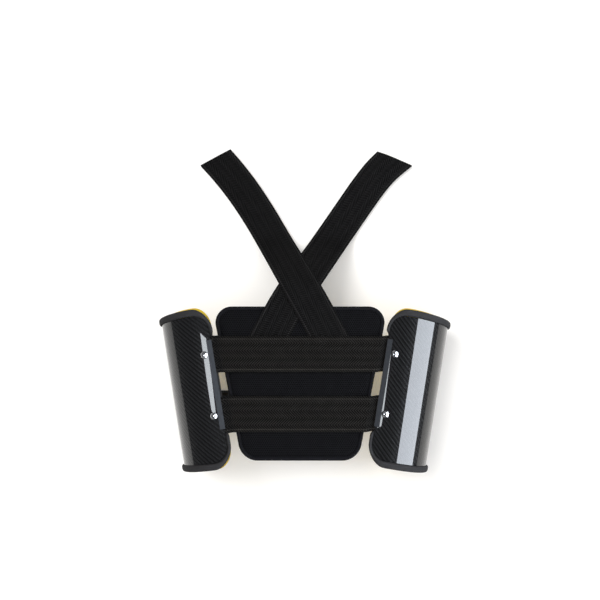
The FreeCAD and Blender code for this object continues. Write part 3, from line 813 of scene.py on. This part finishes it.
rim_finish, tree, shader = new_finish("rim_fabric", roughness=0.8, specular_ior_level=0.12)
place = place_of(tree)
grain = noise(tree, place, 1400.0)
creases = noise(tree, place, 140.0)
wire(tree, shader, blend_colours(tree, sums(tree, "ADD", sums(tree, "MULTIPLY", grain, 0.6),
                                            sums(tree, "MULTIPLY", creases, 0.4)),
                                 (0.014, 0.0138, 0.015), (0.032, 0.0318, 0.034)), None,
     sums(tree, "ADD", grain, creases), 0.0005)

lining_finish, tree, shader = new_finish(
    "yellow_lining", roughness=0.75, specular_ior_level=0.2, sheen_weight=0.3)
place = place_of(tree)
loops_seen = noise(tree, place, 700.0)
lining_row = 0.0014
rows = sums(tree, "SINE", sums(tree, "MULTIPLY", add(tree, "SeparateXYZ", place, out=1),
                               2 * math.pi / lining_row))
wire(tree, shader, blend_colours(tree, loops_seen, (0.78, 0.52, 0.012), (0.92, 0.70, 0.03)), None,
     sums(tree, "ADD", rows, loops_seen), 0.0003)

foam_finish, tree, shader = new_finish("pad_foam", roughness=0.9, specular_ior_level=0.15)
grain = noise(tree, place_of(tree), 900.0)
wire(tree, shader, blend_colours(tree, grain, (0.012, 0.012, 0.013), (0.035, 0.035, 0.037)), None,
     grain, 0.0004)

for side in ("left", "right"):
    low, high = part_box("edge_bar_" + side)
    bar_half = (high - low).y / math.cos(lean) / 2
    outline = shell_outline()
    rings = []
    mouth = bar_half + 0.0105
    count = len(outline)
    for i, here in enumerate(outline):
        after, before = outline[(i + 1) % count], outline[i - 1]
        run_on = (after - before).normalized()
        out = Vector((-run_on.y, run_on.x))
        inner_share = max(0.0, min(1.0, -out.x))
        inner_share = inner_share * inner_share * (3 - 2 * inner_share)
        width = rim_width + (rim_inner_width - rim_width) * inner_share
        gap = max(0.0, min(1.0, (mouth - abs(here.y)) / 0.004)) if inner_share > 0.9 else 0.0
        gap = gap * gap * (3 - 2 * gap)
        top = shell_radius + rim_stand - gap * 0.0106
        hold = min(shell_radius, top - 0.0004)
        profile = [(0.0006, hold), (0.0006, top - 0.0026), (0.0012, top - 0.0010), (0.0026, top - 0.0001),
                   (width * 0.5, top), (width - 0.0026, top - 0.0004), (width - 0.0010, top - 0.0016),
                   (width - 0.0002, top - 0.0040)]
        low_r = pad_inner + 0.0004
        middle_r = (top + low_r) / 2
        profile += [(width, middle_r), (width - 0.0004, low_r + 0.0030), (width - 0.0016, low_r + 0.0010),
                    (width - 0.0034, low_r), (width * 0.4, low_r), (0.0006, low_r), (0.0006, middle_r)]
        rings.append([tuple(on_shell(side, here + out * reach, radius)) for reach, radius in profile])
    rim = swept("soft_rim_cover_" + side, rings, rim_finish, closed=True)
    finer = rim.modifiers.new("finer", "SUBSURF")
    finer.levels = finer.render_levels = 1
    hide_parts("soft_rim_" + side)
    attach(rim, "shell_" + side)

    middle = Vector(((front_arc - inner_arc) / 2, (shell_top_v + shell_bottom_v) / 2))

    def arch_loop(reach, share, radius, inner_reach=None):
        loop = shell_outline(reach, inner_reach)
        return [tuple(on_shell(side, middle + (p - middle) * share, radius)) for p in loop]

    loops = [arch_loop(-0.0006, share, 0.0690) for share in (0.1, 0.35, 0.6, 0.8, 0.93, 0.995)]
    loops += [arch_loop(-0.0006, share, radius) for share, radius in (
        (1.0, 0.0675), (1.0, 0.0605), (0.99, 0.0588), (0.9, pad_inner), (0.7, pad_inner),
        (0.4, pad_inner), (0.1, pad_inner))]
    pad = filled("body_pad_" + side, loops, foam_finish)
    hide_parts("foam_pad_" + side)
    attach(pad, "shell_" + side)

    out_reach, in_reach = rim_width + 0.0015, rim_inner_width + 0.0015
    # Where the bands leave, the lining's edge is turned in under the rim.
    base = [Vector((max(p.x, -inner_arc - rim_inner_width + 0.0015) if abs(p.y) < mouth else p.x, p.y))
            for p in shell_outline(out_reach, in_reach)]

    def lining_loop(share, radius):
        return [tuple(on_shell(side, middle + (p - middle) * share, radius)) for p in base]

    loops = [lining_loop(share, 0.0583) for share in (0.1, 0.3, 0.5, 0.7, 0.85, 0.94, 0.99)]
    loops += [lining_loop(1.0, 0.0580), lining_loop(1.0, 0.0574)]
    loops += [lining_loop(share, 0.0571) for share in (0.99, 0.94, 0.85, 0.7, 0.5, 0.3, 0.1)]
    skin = filled("body_lining_skin_" + side, loops, lining_finish)
    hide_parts("body_lining_" + side)
    length = shell_top_v - shell_bottom_v + 2 * out_reach
    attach(skin, "shell_" + side)

# ==== Trim bars, backing strips, rivets and washers ====
# A folded metal bar covers the shell's inner edge over the bands; an aluminium strip lies under them.
# Two domed rivets with washers clamp bar side, composite, elastic and strip together.
bar_finish, tree, shader = new_finish("edge_trim", metallic=0.1, specular_ior_level=0.06)
place = place_of(tree)
brushed = add(tree, "VectorMath", place, (300.0, 30.0, 300.0), operation="MULTIPLY")
lines = noise(tree, brushed, 6.0)
wire(tree, shader, blend_colours(tree, lines, (0.018, 0.020, 0.024), (0.046, 0.051, 0.060)),
     add(tree, "MapRange", lines, 0.0, 1.0, 0.45, 0.6), lines, 0.0001)
strip_finish, tree, shader = new_finish("aluminium_strip", metallic=1.0, specular_ior_level=0.5)
lines = noise(tree, add(tree, "VectorMath", place_of(tree), (400.0, 20.0, 400.0), operation="MULTIPLY"), 5.0)
wire(tree, shader, blend_colours(tree, lines, (0.55, 0.56, 0.57), (0.75, 0.76, 0.77)),
     add(tree, "MapRange", lines, 0.0, 1.0, 0.25, 0.45), lines, 0.00008)
rivet_finish, tree, shader = new_finish("rivet_metal", metallic=1.0, specular_ior_level=0.5)
scuffs = noise(tree, place_of(tree), 420.0)
wire(tree, shader, blend_colours(tree, scuffs, (0.62, 0.62, 0.63), (0.82, 0.82, 0.83)),
     add(tree, "MapRange", scuffs, 0.3, 0.7, 0.08, 0.2), scuffs, 0.00004)
for side in ("left", "right"):
    for node, finish in (("edge_bar_", bar_finish), ("backing_strip_", strip_finish),
                         ("rivets_", rivet_finish), ("rivet_washers_", strip_finish)):
        for slot in frame["nodes"][node + side].material_slots:
            slot.material = finish

# ==== Loop patches and front closing belts ====
# Two elastic belts are sewn to the left shell's front edge; they lie open on the table under the vest.
# Their hook tabs close on brushed loop patches glued to the right shell.
loop_finish, tree, shader = new_finish(
    "loop_fabric", roughness=0.95, specular_ior_level=0.1, sheen_weight=0.4)
fuzz = noise(tree, place_of(tree), 1100.0, 6.0)
wire(tree, shader, blend_colours(tree, fuzz, (0.008, 0.008, 0.009), (0.04, 0.04, 0.042)), None,
     fuzz, 0.0009)


def loop_patch(side, arc_from, arc_to, v_low, v_high):
    """Loops of a soft patch on the outside of a shell, with rounded corners and a rolled edge."""
    corners = [(arc_from, v_high), (arc_to, v_high), (arc_to, v_low), (arc_from, v_low)]
    outline = rounded_outline(corners, [0.004] * 4, 0.003)
    middle = Vector(((arc_from + arc_to) / 2, (v_low + v_high) / 2))
    loops = []
    for share, lift in ((0.1, 0.00005), (0.5, 0.00005), (0.97, 0.00005), (1.0, 0.0004), (0.995, 0.0010),
                        (0.97, 0.00135), (0.5, 0.0014), (0.1, 0.0014)):
        loops.append([tuple(on_shell(side, middle + (p - middle) * share, shell_radius + lift))
                      for p in outline])
    return loops


def arc_at(angle):
    return math.radians(angle) * shell_radius


patch_inset = 0.020
patch_top = shell_top_v - patch_inset
strap_patch_arcs = (arc_at(107.0), arc_at(113.0))
for side in ("left", "right"):
    loops = loop_patch(side, *strap_patch_arcs, patch_top - strap_width, patch_top)
    patch = filled("strap_loop_" + side, loops, loop_finish)
    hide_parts("strap_loop_patch_" + side)
    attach(patch, "shell_" + side)

belt_width = 0.050
belt_patch_arcs = (arc_at(114.0), arc_at(136.0))
rivet_reach = 0.0501
for number, v in (("upper", rivet_reach), ("lower", -rivet_reach)):
    loops = loop_patch("right", *belt_patch_arcs, v - belt_width / 2, v + belt_width / 2)
    patch = filled("belt_loop_" + number, loops, loop_finish)
    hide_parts("belt_loop_patches_right")
    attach(patch, "shell_right")

belt_finish = woven("belt_elastic", ((0.006, 0.006, 0.0062), (0.024, 0.023, 0.023)), 0.0019, 0.0030, 0.0004,
                    roughness=0.65, specular_ior_level=0.22)
for level in ("upper", "lower"):
    for node, finish, slot in (("_belt", belt_finish, "belt_elastic"),
                               ("_belt_hook_tab", hook_finish, "hook_tape")):
        low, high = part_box(level + node)
        section = strip_section(high.y - low.y, high.z - low.z)
        rings, weave = [], []
        for k in range(50):
            x = low.x + (high.x - low.x) * k / 49
            middle_y, middle_z = (low.y + high.y) / 2, (low.z + high.z) / 2
            rings.append([(x, middle_y + across, middle_z + lift) for across, lift in section])
            weave += [(x, across + belt_width / 2, 0.0) for across, lift in section]
        belt = swept(level + node + "_woven", rings, finish, weave)
        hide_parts(level + node)
        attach(belt, "belt_" + level)
